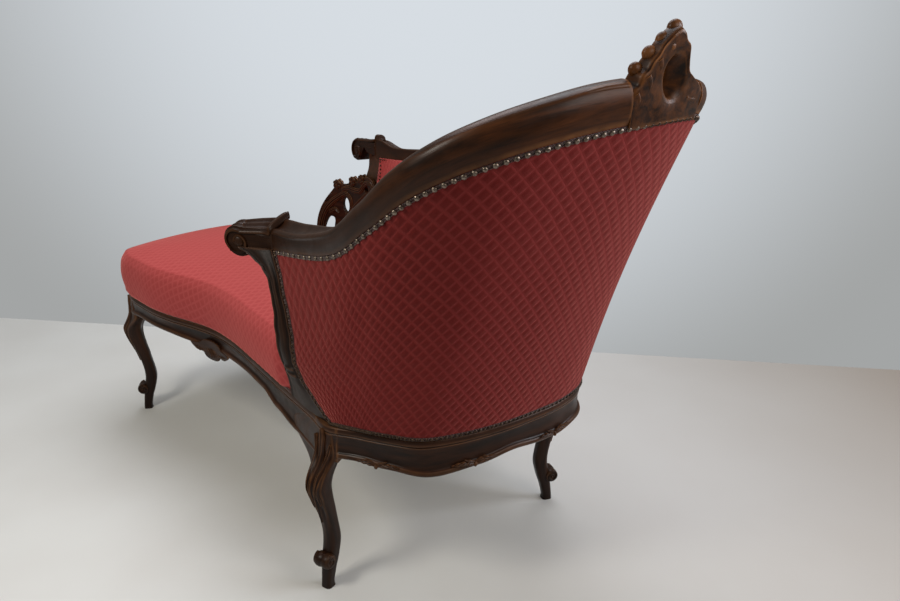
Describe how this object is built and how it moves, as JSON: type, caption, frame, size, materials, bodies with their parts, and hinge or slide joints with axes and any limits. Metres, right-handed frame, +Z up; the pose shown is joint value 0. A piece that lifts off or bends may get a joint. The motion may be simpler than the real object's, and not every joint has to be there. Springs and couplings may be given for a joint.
{
  "type": "fainting couch",
  "caption": "Fainting couch with a tub back that sweeps down from a high carved head end, carved walnut rails and curved legs, a stuffed seat and rose patterned cloth.",
  "frame": {"origin": "centre of the footprint, on the floor", "axes": "+X towards the high head end, +Y towards the long back side, +Z up"},
  "size_m": [1.4906, 0.7174, 0.9985],
  "materials": {
    "walnut": "dark carved wood, polished to a soft gloss",
    "rose_cloth": "woven cloth with a small lozenge pattern",
    "gimp_braid": "narrow woven braid under nail heads",
    "beech": "plain sawn wood, hidden",
    "hessian": "coarse jute cloth, hidden",
    "linen": "plain webbing and dust cloth",
    "spring_steel": "plain spring wire, hidden"
  },
  "bodies": {
    "root": {"head_rail": "walnut", "back_rail": "walnut", "foot_rail": "walnut", "front_rail": "walnut", "leg_front_head": "walnut", "leg_back_head": "walnut", "leg_back_foot": "walnut", "leg_front_foot": "walnut", "front_top_rail": "walnut", "back_top_rail": "walnut", "crest_carving": "walnut", "front_arm_scroll": "walnut", "back_arm_scroll": "walnut", "front_arm_lug": "walnut", "back_arm_lug": "walnut", "front_arm_post": "walnut", "back_arm_post": "walnut", "outer_back_cover": "rose_cloth", "top_gimp": "gimp_braid", "bottom_gimp": "gimp_braid", "front_post_gimp": "gimp_braid", "back_post_gimp": "gimp_braid", "back_slat_1": "beech", "back_slat_2": "beech", "back_slat_3": "beech", "back_slat_4": "beech", "back_hessian": "hessian", "inner_back_pad": "rose_cloth", "pierced_bracket": "walnut", "front_cartouche": "walnut", "head_drop_1": "walnut", "head_drop_2": "walnut", "head_drop_3": "walnut", "seat_cushion": "rose_cloth", "seat_hessian": "hessian", "seat_spring_1": "spring_steel", "seat_spring_2": "spring_steel", "seat_spring_3": "spring_steel", "seat_spring_4": "spring_steel", "seat_spring_5": "spring_steel", "seat_spring_6": "spring_steel", "seat_spring_7": "spring_steel", "seat_spring_8": "spring_steel", "seat_spring_9": "spring_steel", "seat_spring_10": "spring_steel", "seat_spring_11": "spring_steel", "seat_spring_12": "spring_steel", "seat_spring_13": "spring_steel", "seat_webbing": "linen", "dust_cloth": "linen", "cross_rail_1": "beech", "cross_rail_2": "beech", "corner_block_front_head": "beech", "corner_block_back_head": "beech", "corner_block_back_foot": "beech", "corner_block_front_foot": "beech"}
  },
  "joints": []
}
